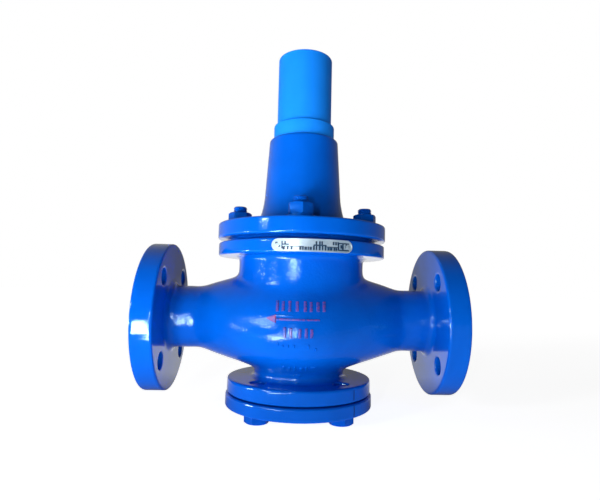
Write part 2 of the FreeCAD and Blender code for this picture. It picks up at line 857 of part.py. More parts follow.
def plate_outline(outer_r, half_deg, height):
    """Round ended strip wrapped on the rim, up to outer_r."""
    z = top_face_z - top_flange_t / 2
    shell = ring(top_flange_r + ring_gap, outer_r, z - height / 2, z + height / 2)
    middle = math.radians(plate_centre_deg)
    out = V(math.cos(middle), math.sin(middle), 0)
    side = V(-math.sin(middle), math.cos(middle), 0)
    reach = top_flange_r * math.sin(math.radians(half_deg)) - height / 2
    root = out * (top_flange_r * math.cos(math.radians(half_deg)) - height)
    length = 2 * height + plate_t + top_flange_r * (1 - math.cos(math.radians(half_deg)))
    ends = []
    for sign in (-1, 1):
        place = root + side * (sign * reach) + V(0, 0, z)
        ends.append(Part.makeCylinder(height / 2, length, place, out))
    corners = []
    for across, up in ((-1, -1), (1, -1), (1, 1), (-1, 1), (-1, -1)):
        corners.append(root + side * (across * reach) + V(0, 0, z + up * height / 2))
    strip = Part.Face(Part.makePolygon(corners)).extrude(out * length)
    return shell.common(fused(ends + [strip]))


def rivets(radius):
    """Rivet shanks, square to the rim, as deep as their holes."""
    z = top_face_z - top_flange_t / 2
    outer_r = top_flange_r + plate_t
    for sign in (-1, 1):
        angle = math.radians(plate_centre_deg + sign * (plate_half_deg - rivet_inset_deg))
        out = V(math.cos(angle), math.sin(angle), 0)
        place = out * (outer_r - plate_t - rivet_depth) + V(0, 0, z)
        yield Part.makeCylinder(radius, rivet_depth + plate_t, place, out)


def nameplate():
    shape = plate_outline(top_flange_r + plate_t, plate_half_deg, plate_h)
    return shape.cut(Part.makeCompound(list(rivets(rivet_r + running_gap))))


def nameplate_rivets():
    z = top_face_z - top_flange_t / 2
    pieces = []
    for shank, sign in zip(rivets(rivet_r), (-1, 1)):
        angle = math.radians(plate_centre_deg + sign * (plate_half_deg - rivet_inset_deg))
        out = V(math.cos(angle), math.sin(angle), 0)
        place = out * (top_flange_r + plate_t) + V(0, 0, z)
        pieces.append(shank.fuse(Part.makeCylinder(rivet_head_r, rivet_head_h, place, out)).removeSplitter())
    return Part.makeCompound(pieces)


def all_nodes():
    studs = stud_places()
    bolts = list(spots(cover_bolt_circle_r, cover_bolt_count, 45))
    return {
        "valve_body": valve_body(),
        "cylinder_liner": cylinder_liner(),
        "seat_ring": seat_ring(),
        "seat_gasket": seat_gasket(),
        "bonnet_gasket": bonnet_gasket(),
        "bonnet": bonnet(),
        "bonnet_studs": group(bonnet_stud, studs),
        "bonnet_washers": group(bonnet_washer, studs),
        "bonnet_nuts": group(bonnet_nut, studs),
        "bottom_gasket": bottom_gasket(),
        "bottom_cover": bottom_cover(),
        "cover_bolts": group(cover_bolt, bolts),
        "guide_bush": guide_bush(),
        "nameplate": nameplate(),
        "nameplate_rivets": nameplate_rivets(),
        "main_spring": main_spring(),
        "return_spring": return_spring(),
        "stem": stem(),
        "stem_o_ring": stem_o_ring(),
        "piston": piston(),
        "piston_o_rings": piston_o_rings(),
        "piston_washer": piston_washer(),
        "piston_nut": piston_nut(),
        "lower_spring_seat": lower_spring_seat(),
        "disc_holder": disc_holder(),
        "disc_seal": disc_seal(),
        "seal_retainer": seal_retainer(),
        "disc_nut": disc_nut(),
        "balance_piston": balance_piston(),
        "balance_o_ring": balance_o_ring(),
        "upper_spring_seat": upper_spring_seat(),
        "thrust_ball": thrust_ball(),
        "adjusting_screw": adjusting_screw(),
        "lock_washer": lock_washer(),
        "lock_nut": lock_nut(),
        "cap": cap(),
    }


def main():
    os.makedirs("parts", exist_ok=True)
    for name, shape in all_nodes().items():
        shape.translate(V(0, 0, axis_height))
        shape.exportStep("parts/" + name + ".step")
        box = shape.BoundBox
        print(name, len(shape.Solids), shape.isValid(), round(shape.Volume),
              [round(v, 2) for v in (box.XMin, box.XMax, box.YMin, box.YMax, box.ZMin, box.ZMax)])


main()
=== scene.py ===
import json
import math
import bmesh
import bpy
import numpy as np
from mathutils import Matrix, Vector, noise
from mathutils.bvhtree import BVHTree


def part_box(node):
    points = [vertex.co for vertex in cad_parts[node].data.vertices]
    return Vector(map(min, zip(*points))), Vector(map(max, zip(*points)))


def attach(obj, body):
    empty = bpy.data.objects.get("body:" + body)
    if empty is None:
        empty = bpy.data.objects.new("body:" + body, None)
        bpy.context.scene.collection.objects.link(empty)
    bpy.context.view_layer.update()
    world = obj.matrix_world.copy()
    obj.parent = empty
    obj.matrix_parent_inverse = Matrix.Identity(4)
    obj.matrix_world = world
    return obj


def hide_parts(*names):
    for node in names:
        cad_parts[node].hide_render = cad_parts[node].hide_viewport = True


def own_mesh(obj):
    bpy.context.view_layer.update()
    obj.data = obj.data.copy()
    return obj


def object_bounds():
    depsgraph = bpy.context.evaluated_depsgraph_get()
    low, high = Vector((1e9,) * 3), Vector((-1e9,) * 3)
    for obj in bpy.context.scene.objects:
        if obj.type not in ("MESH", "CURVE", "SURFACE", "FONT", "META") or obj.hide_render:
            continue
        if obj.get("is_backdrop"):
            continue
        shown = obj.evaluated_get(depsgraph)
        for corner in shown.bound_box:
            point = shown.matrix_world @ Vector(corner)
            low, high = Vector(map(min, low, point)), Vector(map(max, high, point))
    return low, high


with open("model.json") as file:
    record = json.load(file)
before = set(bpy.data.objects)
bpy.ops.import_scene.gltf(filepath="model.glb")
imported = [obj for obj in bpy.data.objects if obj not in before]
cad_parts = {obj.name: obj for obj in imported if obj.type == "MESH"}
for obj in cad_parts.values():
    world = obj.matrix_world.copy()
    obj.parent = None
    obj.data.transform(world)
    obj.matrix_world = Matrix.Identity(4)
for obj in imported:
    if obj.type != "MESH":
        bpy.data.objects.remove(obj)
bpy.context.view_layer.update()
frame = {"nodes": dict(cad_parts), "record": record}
nodes = frame["nodes"]
mm = 0.001
print("frame loaded:", len(nodes), "nodes")


# places read from the frame

def heights(node):
    return tuple(corner.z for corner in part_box(node))


flangeStep = 1.1 * mm                           # the body's top flange is this much smaller than the bonnet's
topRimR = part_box("bonnet")[1].y - flangeStep
plateLow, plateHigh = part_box("nameplate")
axisZ = sum(spot[2] for spot in frame["record"]["physics"]["openings"][0]["box_m"]) / 2


# small mesh helpers

onAxis = 1e-7                                   # a radius under this is a point on the axis
sharpAngles = {"joined": 32, "bevelled": 50, "edges": 35}      # degrees


def newObject(name, data):
    piece = bpy.data.objects.new(name, data)
    bpy.context.scene.collection.objects.link(piece)
    return piece


def meshFrom(name, verts, faces):
    mesh = bpy.data.meshes.new(name)
    mesh.from_pydata([tuple(v) for v in verts], [], faces)
    mesh.validate()
    mesh.update()
    return mesh


def outwardNormals(mesh):
    bm = bmesh.new()
    bm.from_mesh(mesh)
    bmesh.ops.recalc_face_normals(bm, faces=bm.faces)
    bm.to_mesh(mesh)
    bm.free()


def shadeByAngle(mesh, degrees):
    mesh.shade_smooth()
    mesh.set_sharp_from_angle(angle=math.radians(degrees))


def applied(piece):
    # puts the modifiers' result into the piece's own mesh
    graph = bpy.context.evaluated_depsgraph_get()
    mesh = bpy.data.meshes.new_from_object(piece.evaluated_get(graph))
    old = piece.data
    piece.modifiers.clear()
    piece.data = mesh
    bpy.data.meshes.remove(old)
    return piece


def softEdges(piece, width, segments=2):
    bevel = piece.modifiers.new("edges", "BEVEL")
    bevel.width = width
    bevel.segments = segments
    bevel.limit_method = "ANGLE"
    bevel.angle_limit = math.radians(sharpAngles["edges"])
    applied(piece)
    shadeByAngle(piece.data, sharpAngles["bevelled"])
    return piece


def onCircle(radius, turn, z, centre=(0, 0)):
    return centre[0] + radius * math.cos(turn), centre[1] + radius * math.sin(turn), z


def strip(one, two, steps):
    # faces between two rings of points, each given by its first point
    afters = [(step + 1) % steps for step in range(steps)]
    return [(one + step, one + after, two + after, two + step) for step, after in enumerate(afters)]


def tube(rings, steps):
    # faces of a skin over rings of points, closed at both ends
    faces = []
    for ring in range(rings - 1):
        faces += strip(ring * steps, (ring + 1) * steps, steps)
    return [*faces, tuple(reversed(range(steps))), tuple(range((rings - 1) * steps, rings * steps))]


def lathe(name, profile, steps):
    # profile: (radius, z) points of a closed outline; a radius of zero makes a pole
    verts, rings = [], []
    for radius, z in profile:
        count = 1 if radius < onAxis else steps
        rings.append((len(verts), count == 1))
        verts += [onCircle(radius, 2 * math.pi * step / count, z) for step in range(count)]
    faces = []
    for (one, poleOne), (two, poleTwo) in zip(rings, rings[1:] + rings[:1]):
        if not (poleOne or poleTwo):
            faces += strip(one, two, steps)
        elif not (poleOne and poleTwo):
            pole, ring = (one, two) if poleOne else (two, one)
            faces += [(pole, ring + step, ring + (step + 1) % steps) for step in range(steps)]
    mesh = meshFrom(name, verts, faces)
    outwardNormals(mesh)
    return newObject(name, mesh)


def roundedProfile(points, radius, steps=4, most=0.45):
    # rounds every corner of a closed outline that isn't on the axis, by at most a share of its sides
    result = []
    count = len(points)
    for index, point in enumerate(points):
        if point[0] < onAxis:
            result.append(point)
            continue
        here = Vector(point)
        before = Vector(points[index - 1]) - here
        after = Vector(points[(index + 1) % count]) - here
        size = min(radius, before.length * most, after.length * most)
        start = here + before.normalized() * size
        end = here + after.normalized() * size
        for step in range(steps + 1):
            t = step / steps
            result.append(tuple(start * (1 - t) ** 2 + here * 2 * t * (1 - t) + end * t ** 2))
    return result


def joined(name, parts):
    verts, faces = [], []
    for partVerts, partFaces in parts:
        shift = len(verts)
        verts += partVerts
        faces += [tuple(index + shift for index in face) for face in partFaces]
    mesh = meshFrom(name, verts, faces)
    outwardNormals(mesh)
    shadeByAngle(mesh, sharpAngles["joined"])
    return newObject(name, mesh)


# material nodes

blendEdges = {                                  # noise values between which one finish turns into another
    "patches": (0.35, 0.65), "streaks": (0.3, 0.7), "stains": (0.35, 0.7), "dust": (0.45, 0.75)}
turnedSettings = {
    "ringDistortion": 0.6, "ringDetail": 2, "ringBump": 0.12, "ringDepth": 0.2 * mm, "stainScale": 45,
    "roughScale": 120, "roughRange": (0.8, 1.25)}
rubberSettings = {
    "dustScale": 180, "fibreRough": 0.7, "fibreBump": 0.35, "fibreDepth": 0.3 * mm, "rough": (0.55, 0.8)}


def emptyTree(owner):
    owner.use_nodes = True
    owner.node_tree.nodes.clear()
    return owner.node_tree


def addNode(tree, kind, values=None, links=None, **traits):
    # a shader node with its own values, and with other nodes' outputs linked to it
    node = tree.nodes.new("ShaderNode" + kind)
    for name, trait in traits.items():
        setattr(node, name, trait)
    for socket, value in (values or {}).items():
        node.inputs[socket].default_value = value
    for socket, output in (links or {}).items():
        if output is not None:
            tree.links.new(output, node.inputs[socket])
    return node


def startMaterial(name):
    material = bpy.data.materials.new(name)
    tree = emptyTree(material)
    shader = addNode(tree, "BsdfPrincipled")
    addNode(tree, "OutputMaterial", links={0: shader.outputs[0]})
    return material, tree, shader, addNode(tree, "TexCoord").outputs["Object"]


def finished(material, tree, shader, colour, rough, normal=None, metallic=0.0):
    for value, socket in ((colour, "Base Color"), (rough, "Roughness"), (normal, "Normal")):
        if value is not None:
            tree.links.new(value, shader.inputs[socket])
    shader.inputs["Metallic"].default_value = metallic
    return material


def noiseNode(tree, coords, scale, detail=4.0, rough=0.55):
    values = {"Scale": scale, "Detail": detail, "Roughness": rough}
    return addNode(tree, "TexNoise", values, {"Vector": coords}).outputs["Fac"]


def spread(tree, value, lowIn, highIn, lowOut, highOut):
    values = {"From Min": lowIn, "From Max": highIn, "To Min": lowOut, "To Max": highOut}
    return addNode(tree, "MapRange", values, {"Value": value}).outputs[0]


def clouds(tree, coords, scale, detail, edges, low=0, high=1):
    # noise that goes from one value to another between two of the blend edges
    return spread(tree, noiseNode(tree, coords, scale, detail), *blendEdges[edges], low, high)


def twoColours(tree, factor, first, second):
    values = {"A": (*first, 1), "B": (*second, 1)}
    return addNode(tree, "Mix", values, {"Factor": factor}, data_type="RGBA").outputs["Result"]


def bumpNode(tree, height, strength, distance, under=None):
    values = {"Strength": strength, "Distance": distance}
    return addNode(tree, "Bump", values, {"Height": height, "Normal": under}).outputs[0]


def srgb(red, green, blue):
    # screen values 0-255 to linear
    def one(value):
        value /= 255
        return value / 12.92 if value <= 0.04045 else ((value + 0.055) / 1.055) ** 2.4
    return one(red), one(green), one(blue)


def enamel(name, settings):
    # gloss paint over a casting: uneven thickness, sand grain where the skin is cast, slight orange peel
    material, tree, shader, coords = startMaterial(name)
    patches = clouds(tree, coords, settings["patchScale"], 3, "patches")
    colour = twoColours(tree, patches, settings["thin"], settings["thick"])
    glossScale = 60
    gloss = clouds(tree, coords, glossScale, 3, "streaks", *settings["rough"])
    skin = addNode(tree, "Attribute", attribute_name="castSkin")    # 1 on rough cast skin, 0 on turned faces
    grain = noiseNode(tree, coords, settings["grainScale"], 3, 0.55)
    lumps = bumpNode(tree, grain, settings["grain"], mm)
    tree.links.new(spread(tree, skin.outputs["Fac"], 0, 1, settings["grainFlat"], settings["grain"]),
                   lumps.node.inputs["Strength"])
    peel = bumpNode(tree, noiseNode(tree, coords, settings["peelScale"], 2), settings["peel"], mm, lumps)
    shader.inputs["Specular IOR Level"].default_value = settings["specular"]
    shader.inputs["Specular Tint"].default_value = (*settings["tint"], 1)
    return finished(material, tree, shader, colour, gloss, peel)


def turnedMetal(name, settings):
    # machined surface: fine rings along the stem axis, with stains
    shared = turnedSettings
    material, tree, shader, coords = startMaterial(name)
    values = {
        "Scale": settings["ringScale"], "Distortion": shared["ringDistortion"], "Detail": shared["ringDetail"]}
    rings = addNode(tree, "TexWave", values, {"Vector": coords}, wave_type="BANDS", bands_direction="Z")
    stains = clouds(tree, coords, shared["stainScale"], 5, "stains")
    colour = twoColours(tree, stains, settings["bright"], settings["dull"])
    smoothest, roughest = (settings["rough"] * share for share in shared["roughRange"])
    rough = clouds(tree, coords, shared["roughScale"], 4, "streaks", smoothest, roughest)
    grooves = bumpNode(tree, rings.outputs["Fac"], shared["ringBump"], shared["ringDepth"])
    return finished(material, tree, shader, colour, rough, grooves, 1.0)


def rubberLike(name, settings):
    shared = rubberSettings
    material, tree, shader, coords = startMaterial(name)
    dust = clouds(tree, coords, shared["dustScale"], 5, "dust")
    colour = twoColours(tree, dust, settings["base"], settings["dust"])
    fibres = noiseNode(tree, coords, settings["fibreScale"], 6, shared["fibreRough"])
    weave = bumpNode(tree, fibres, shared["fibreBump"], shared["fibreDepth"])
    rough = spread(tree, fibres, *blendEdges["streaks"], *shared["rough"])
    return finished(material, tree, shader, colour, rough, weave)


bodyEnamel = {
    "thin": (0, 0.089, 0.53), "thick": (0, 0.103, 0.60), "patchScale": 22, "rough": (0.06, 0.10),
    "grainScale": 380, "grain": 0.31, "grainFlat": 0.02, "peelScale": 120, "peel": 0.08,
    "specular": 0.62, "tint": (0.55, 0.88, 1.0)}
wornRed = {                                     # red on raised marks, worn down to the blue
    **bodyEnamel, "thin": (0.01, 0.075, 0.42), "thick": (0.15, 0.06, 0.29), "patchScale": 420,
    "rough": (0.10, 0.20), "grainScale": 600, "grain": 0.30, "grainFlat": 0.30, "peelScale": 260, "peel": 0.16,
    "tint": (0.5, 0.8, 1.0)}
bodyPaint = enamel("blueEnamel", bodyEnamel)
fastenerPaint = enamel("fastenerEnamel", {
    "thin": (0, 0.070, 0.43), "thick": (0, 0.088, 0.52), "patchScale": 90, "rough": (0.18, 0.30),
    "grainScale": 900, "grain": 0.10, "grainFlat": 0.10, "peelScale": 260, "peel": 0.16,
    "specular": 0.40, "tint": (0.12, 0.5, 1.0)})
markPaint = enamel("wornMarks", wornRed)
arrowPaint = enamel("wornArrow", {
    **wornRed, "thin": (0.03, 0.08, 0.42), "thick": (0.30, 0.08, 0.22), "patchScale": 240})
# dark blue for a thin line across the body's and the cover's flange rims
darkLineEnamel = enamel("darkLineBlue", {
    "thin": (0, 0.012, 0.10), "thick": (0, 0.022, 0.16), "patchScale": 300, "rough": (0.3, 0.5),
    "grainScale": 900, "grain": 0.2, "grainFlat": 0.2, "peelScale": 260, "peel": 0.1,
    "specular": 0.3, "tint": (0.35, 0.72, 1.0)})
capPaint = enamel("capSkyBlue", {
    "thin": (0.006, 0.215, 0.86), "thick": (0.008, 0.235, 0.92), "patchScale": 18, "rough": (0.48, 0.60),
    "grainScale": 700, "grain": 0.05, "grainFlat": 0.05, "peelScale": 90, "peel": 0.08,
    "specular": 0.30, "tint": (0.2, 0.6, 1.0)})
stainless = turnedMetal("turnedStainless", {
    "bright": (0.60, 0.61, 0.62), "dull": (0.42, 0.43, 0.44), "rough": 0.28, "ringScale": 900})
zincSteel = turnedMetal("zincPlate", {
    "bright": (0.62, 0.61, 0.52), "dull": (0.44, 0.44, 0.42), "rough": 0.34, "ringScale": 1400})
bronze = turnedMetal("turnedBronze", {
    "bright": (0.62, 0.40, 0.18), "dull": (0.38, 0.23, 0.11), "rough": 0.32, "ringScale": 800})
springWire = turnedMetal("oiledSpringWire", {
    "bright": (0.12, 0.12, 0.13), "dull": (0.05, 0.05, 0.06), "rough": 0.38, "ringScale": 500})
ballSteel = turnedMetal("polishedBall", {
    "bright": (0.74, 0.74, 0.75), "dull": (0.66, 0.66, 0.68), "rough": 0.10, "ringScale": 300})
castGrey = turnedMetal("machinedIron", {
    "bright": (0.30, 0.30, 0.31), "dull": (0.20, 0.20, 0.21), "rough": 0.48, "ringScale": 600})
gasketSheet = rubberLike("gasketSheet", {
    "base": (0.02, 0.022, 0.03), "dust": (0.07, 0.07, 0.08), "fibreScale": 900})
sealRubber = rubberLike("blackNitrile", {
    "base": (0.012, 0.012, 0.012), "dust": (0.04, 0.04, 0.04), "fibreScale": 1500})

slotLooks = {
    "blue_enamel": bodyPaint, "painted_fastener": fastenerPaint, "cap_paint": capPaint,
    "bronze": bronze, "stainless": stainless, "zinc_steel": zincSteel, "spring_steel": springWire,
    "cast_grey": castGrey, "ball_steel": ballSteel, "gasket": gasketSheet, "seal_rubber": sealRubber,
    "plate_metal": stainless}
nodeSlots = {row["node"]: row["material_slot"] for row in frame["record"]["subparts"]}
for nodeName, cadPiece in nodes.items():
    cadPiece.data.materials.clear()
    cadPiece.data.materials.append(slotLooks[nodeSlots[nodeName]])
print("materials made:", len(bpy.data.materials))


def dress(piece, body, material, node=None):
    # gives a piece its finish, its body and the CAD node that it stands for
    piece.data.materials.clear()
    piece.data.materials.append(material)
    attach(piece, body)
    if node:
        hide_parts(node)
    return piece


def makePiece(name, parts, material, node=None, edge=0, body="housing"):
    # joins parts into one piece, breaks its edges and dresses it
    piece = joined(name, parts)
    if edge:
        softEdges(piece, edge)
    return dress(piece, body, material, node)


# castings: the CAD form with rounded edges, run-out fillets and an uneven sand surface

def between(value, low, high):
    share = np.clip((value - low) / (high - low), 0, 1)
    return share * share * (3 - 2 * share)


def window(value, centre, full, reach):
    # 1 within "full" of the centre, falling to 0 at "reach"
    return 1 - between(np.abs(value - centre), full, reach)


def meshArrays(mesh):
    spots = np.empty(len(mesh.vertices) * 3)
    mesh.vertices.foreach_get("co", spots)
    edges = np.empty(len(mesh.edges) * 2, np.int64)
    mesh.edges.foreach_get("vertices", edges)
    return spots.reshape(-1, 3), edges.reshape(-1, 2)


def setSpots(mesh, spots):
    mesh.vertices.foreach_set("co", spots.ravel())
    mesh.update()
    normals = np.empty(len(spots) * 3)
    mesh.vertex_normals.foreach_get("vector", normals)
    return normals.reshape(-1, 3)


def smoothed(spots, edges, weights, rounds, least=0.01, pull=0.5):
    # averaging with the neighbours, as strong at each vertex as its weight says
    count = len(spots)
    edges = edges[np.maximum(weights[edges[:, 0]], weights[edges[:, 1]]) > least]
    degree = np.maximum(np.bincount(edges.ravel(), minlength=count), 1)[:, None]
    weights = np.where(weights > least, weights, 0)[:, None] * pull
    for _ in range(rounds):
        total = np.empty_like(spots)
        for axis in range(3):
            total[:, axis] = (np.bincount(edges[:, 0], spots[edges[:, 1], axis], count)
                              + np.bincount(edges[:, 1], spots[edges[:, 0], axis], count))
        spots = spots + (total / degree - spots) * weights
    return spots


def casting(node, name, settings, castShare, fillets=(), turnedShare=0.15):
    # castShare gives 1 on cast skin and 0 on turned faces; fillets are (weight function, rounds)
    piece = newObject(name, nodes[node].data.copy())
    remesh = piece.modifiers.new("sand", "REMESH")
    remesh.mode = "VOXEL"
    remesh.voxel_size = settings["grid"]
    applied(piece)
    spots, edges = meshArrays(piece.data)
    spots = smoothed(spots, edges, np.ones(len(spots)), settings["edgeRounds"])
    for weightOf, rounds in fillets:
        normals = setSpots(piece.data, spots)
        spots = smoothed(spots, edges, weightOf(spots, normals), rounds)
    normals = setSpots(piece.data, spots)
    skin = castShare(spots)
    sink = np.empty(len(spots))
    for index, spot in enumerate(spots):
        wave = noise.noise(Vector(spot) * settings["waveScale"])
        grit = noise.noise(Vector(spot) * settings["gritScale"])
        sink[index] = settings["wave"] * (wave - 1) + settings["grit"] * (grit - 1)
    sink *= (turnedShare + (1 - turnedShare) * skin) / 2
    setSpots(piece.data, spots + normals * sink[:, None])
    layer = piece.data.attributes.new("castSkin", "FLOAT", "POINT")
    layer.data.foreach_set("value", skin.astype(np.float32))
    piece.data.shade_smooth()
    return piece


bodySettings = {
    "grid": 1.25 * mm, "edgeRounds": 1, "wave": 0.26 * mm, "waveScale": 60, "grit": 0.06 * mm, "gritScale": 420,
    # each run-out: where it lies, how far it is full, how far it reaches
    "neckR": (71.7 * mm, 9 * mm, 20 * mm), "neckUp": (40 * mm, 10 * mm, 27 * mm), "neckRounds": 60,
    "lowerR": (62 * mm, 8 * mm, 20 * mm), "lowerZ": (60 * mm, 5 * mm, 14 * mm), "lowerRounds": 110,
    "stubX": (112 * mm, 5 * mm, 15 * mm), "boreR": 30 * mm, "stubRounds": 60,
    "hubX": (141 * mm, 5 * mm, 9 * mm), "hubR": (0, 38 * mm, 44 * mm), "hubRounds": 16,
    "facing": (0.0, 0.3),                        # how far a wall has to face outwards to be softened
    # where cast skin ends: at the end flanges, under the top flange, over the bottom flange
    "endFrom": (141 * mm, 144 * mm), "topFrom": (66 * mm, 69 * mm), "bottomUntil": (41 * mm, 44 * mm)}


def pipeR(spots):
    return np.hypot(spots[:, 1], spots[:, 2] - axisZ)


def stemR(spots):
    return np.hypot(spots[:, 0], spots[:, 1])


def outside(spots, normals):
    # 1 where the wall faces away from the pipe axis or the stem axis
    fromPipe = (normals[:, 1] * spots[:, 1] + normals[:, 2] * (spots[:, 2] - axisZ)) / pipeR(spots)
    fromStem = (normals[:, 0] * spots[:, 0] + normals[:, 1] * spots[:, 1]) / np.maximum(stemR(spots), mm)
    return between(np.maximum(fromPipe, fromStem), *bodySettings["facing"])


def neckFillet(spots, normals):
    around = window(stemR(spots), *bodySettings["neckR"])
    return around * window(spots[:, 2] - axisZ, *bodySettings["neckUp"]) * outside(spots, normals)


def lowerFillet(spots, normals):
    around = window(stemR(spots), *bodySettings["lowerR"])
    return around * window(spots[:, 2], *bodySettings["lowerZ"]) * outside(spots, normals)


def stubFillet(spots, normals):
    along = window(np.abs(spots[:, 0]), *bodySettings["stubX"])
    return along * outside(spots, normals) * (pipeR(spots) > bodySettings["boreR"])


def hubFillet(spots, normals):
    along = window(np.abs(spots[:, 0]), *bodySettings["hubX"])
    return along * outside(spots, normals) * window(pipeR(spots), *bodySettings["hubR"])


def bodySkin(spots):
    # the two end flanges and both round flanges are turned, the rest is cast
    along = 1 - between(np.abs(spots[:, 0]), *bodySettings["endFrom"])
    up = 1 - between(spots[:, 2] - axisZ, *bodySettings["topFrom"])
    return along * up * between(spots[:, 2], *bodySettings["bottomUntil"])


bodyCasting = casting("valve_body", "bodyCasting", bodySettings, bodySkin, (
    (neckFillet, bodySettings["neckRounds"]), (lowerFillet, bodySettings["lowerRounds"]),
    (stubFillet, bodySettings["stubRounds"]), (hubFillet, bodySettings["hubRounds"])))
dress(bodyCasting, "housing", bodyPaint, "valve_body")
print("body casting:", len(bodyCasting.data.vertices), "vertices")

smootherSettings = {                            # bonnet and cover, smoother than the body
    "grid": 1.1 * mm, "edgeRounds": 1, "wave": 0.12 * mm, "waveScale": 45, "grit": 0.02 * mm, "gritScale": 420,
    "castShare": 0.12}


def smootherSkin(spots):
    return np.full(len(spots), smootherSettings["castShare"])


bonnetCasting = casting("bonnet", "bonnetCasting", smootherSettings, smootherSkin)
dress(bonnetCasting, "housing", bodyPaint, "bonnet")
coverCasting = casting("bottom_cover", "coverCasting", smootherSettings, smootherSkin)
dress(coverCasting, "housing", bodyPaint, "bottom_cover")
print("castings made")


# raised cast marks, flow arrow and a thin dark line, laid on the skins

markSettings = {
    "cell": 0.5 * mm, "rise": 0.9 * mm, "bevel": 0.9 * mm, "foot": 0.2 * mm, "depth": 0.7 * mm,
    "inFront": -0.3,                             # y from which a mark is dropped on the skin
    "worn": [                                    # left, low, right and high in mm
        (-26.4, 117.3, -23.2, 128.2), (-20.6, 117.7, -17.6, 127.6), (-14.2, 117.3, -11.0, 128.2),
        (-6.8, 117.7, -3.6, 127.8), (1.2, 117.6, 4.4, 128.0), (7.0, 117.6, 10.0, 127.4),
        (13.8, 117.8, 17.0, 127.6), (20.0, 117.8, 23.2, 128.2),
        (-18.6, 92.2, -15.4, 102.8), (-12.6, 92.4, -9.6, 102.4), (-3.8, 92.4, -0.8, 101.8),
        (2.4, 92.4, 5.4, 102.2), (7.8, 92.7, 10.8, 101.6)],
    "plain": [
        (-24.6, 84.4, -22.2, 87.8), (-19.9, 83.2, -17.5, 85.8), (-14.8, 82.8, -12.4, 86.2),
        (-9.0, 82.8, -6.6, 86.4), (5.2, 82.2, 7.6, 86.8), (12.2, 79.8, 14.8, 83.2),
        (-19.0, 58.6, -16.2, 62.4), (-13.0, 55.0, -10.4, 61.6), (-7.6, 56.0, -5.0, 62.2),
        (-1.8, 57.6, 2.2, 61.4), (4.2, 56.4, 6.4, 62.6), (9.0, 59.6, 14.8, 62.2), (-4.4, 47.4, 0.4, 50.6),
        (-30.0, 112.9, -9.0, 114.0)],
    "arrow": [                                   # four x, z corners in mm: the head and the shaft
        ((-35.4, 110.3), (-25.6, 105.9), (-25.6, 114.9), (-35.4, 110.9)),
        ((-25.8, 108.9), (17.5, 109.1), (17.5, 111.0), (-25.8, 111.3))],
    "lineX": (54.7, 56.3), "lineBody": (4, 15.4), "lineCover": (1.4, 12.6), "lineRise": 0.06 * mm}


def castPad(skin, corners, rise):
    # a pad over four (x, z) corners, dropped on the skin from the front
    a, b, c, d = (Vector(corner) for corner in corners)
    wide = max((b - a).length, (c - d).length)
    tall = max((d - a).length, (c - b).length)
    columns = max(4, round(wide / markSettings["cell"]))
    rows = max(4, round(tall / markSettings["cell"]))
    feet, normals, lifts = [], [], []
    for row in range(rows + 1):
        for column in range(columns + 1):
            s, t = column / columns, row / rows
            place = a.lerp(b, s).lerp(d.lerp(c, s), t)
            start = Vector((place.x, markSettings["inFront"], place.y))
            foot, normal = skin.ray_cast(start, Vector((0, 1, 0)))[:2]
            edge = min(min(s, 1 - s) * wide, min(t, 1 - t) * tall)
            bend = 1 - min(1, edge / min(markSettings["bevel"], 0.5 * min(wide, tall)))
            feet.append(foot)
            normals.append(normal)
            atEdge = row in (0, rows) or column in (0, columns)
            lifts.append(rise * math.sqrt(1 - bend * bend) - (markSettings["foot"] if atEdge else 0))
    out = sum(normals, Vector()).normalized()
    verts = [foot + out * lift for foot, lift in zip(feet, lifts)]
    verts += [foot - out * markSettings["depth"] for foot in feet]
    count, span = len(feet), columns + 1
    faces = []
    for row in range(rows):
        for column in range(columns):
            one = row * span + column
            quad = (one, one + 1, one + span + 1, one + span)
            faces.append(quad)
            faces.append(tuple(index + count for index in reversed(quad)))
    border = [*range(span), *(row * span + columns for row in range(1, rows + 1)),
              *(rows * span + column for column in range(columns - 1, -1, -1)),
              *(row * span for row in range(rows - 1, 0, -1))]
    for one, two in zip(border, border[1:] + border[:1]):
        faces.append((two, one, one + count, two + count))
    return verts, faces


def skinOf(piece):
    mesh = piece.data
    return BVHTree.FromPolygons([v.co for v in mesh.vertices], [tuple(p.vertices) for p in mesh.polygons])


def boxed(left, low, right, high):
    return [(left * mm, low * mm), (right * mm, low * mm), (right * mm, high * mm), (left * mm, high * mm)]


bodyTree, coverTree = skinOf(bodyCasting), skinOf(coverCasting)
headCorners, shaftCorners = ([(x * mm, z * mm) for x, z in corners] for corners in markSettings["arrow"])
rise = markSettings["rise"]
wornPads = [castPad(bodyTree, boxed(*block), rise) for block in markSettings["worn"]]
wornPads.append(castPad(bodyTree, shaftCorners, rise))
wornMarks = makePiece("wornMarks", wornPads, markPaint)
plainPads = [castPad(bodyTree, boxed(*block), rise) for block in markSettings["plain"]]
makePiece("plainMarks", plainPads, bodyPaint)
makePiece("flowArrowHead", [castPad(bodyTree, headCorners, rise)], arrowPaint)

# a thin dark blue raised line across the body's and the cover's flange rims
lineLeft, lineRight = markSettings["lineX"]
linePads = []
for skin, node, stretch in (
        (bodyTree, "valve_body", markSettings["lineBody"]),
        (coverTree, "bottom_cover", markSettings["lineCover"])):
    low, high = (heights(node)[0] / mm + more for more in stretch)
    linePads.append(castPad(skin, boxed(lineLeft, low, lineRight, high), markSettings["lineRise"]))
makePiece("darkRimLine", linePads, darkLineEnamel)
print("marks made:", len(wornMarks.data.vertices), "vertices")


# fasteners

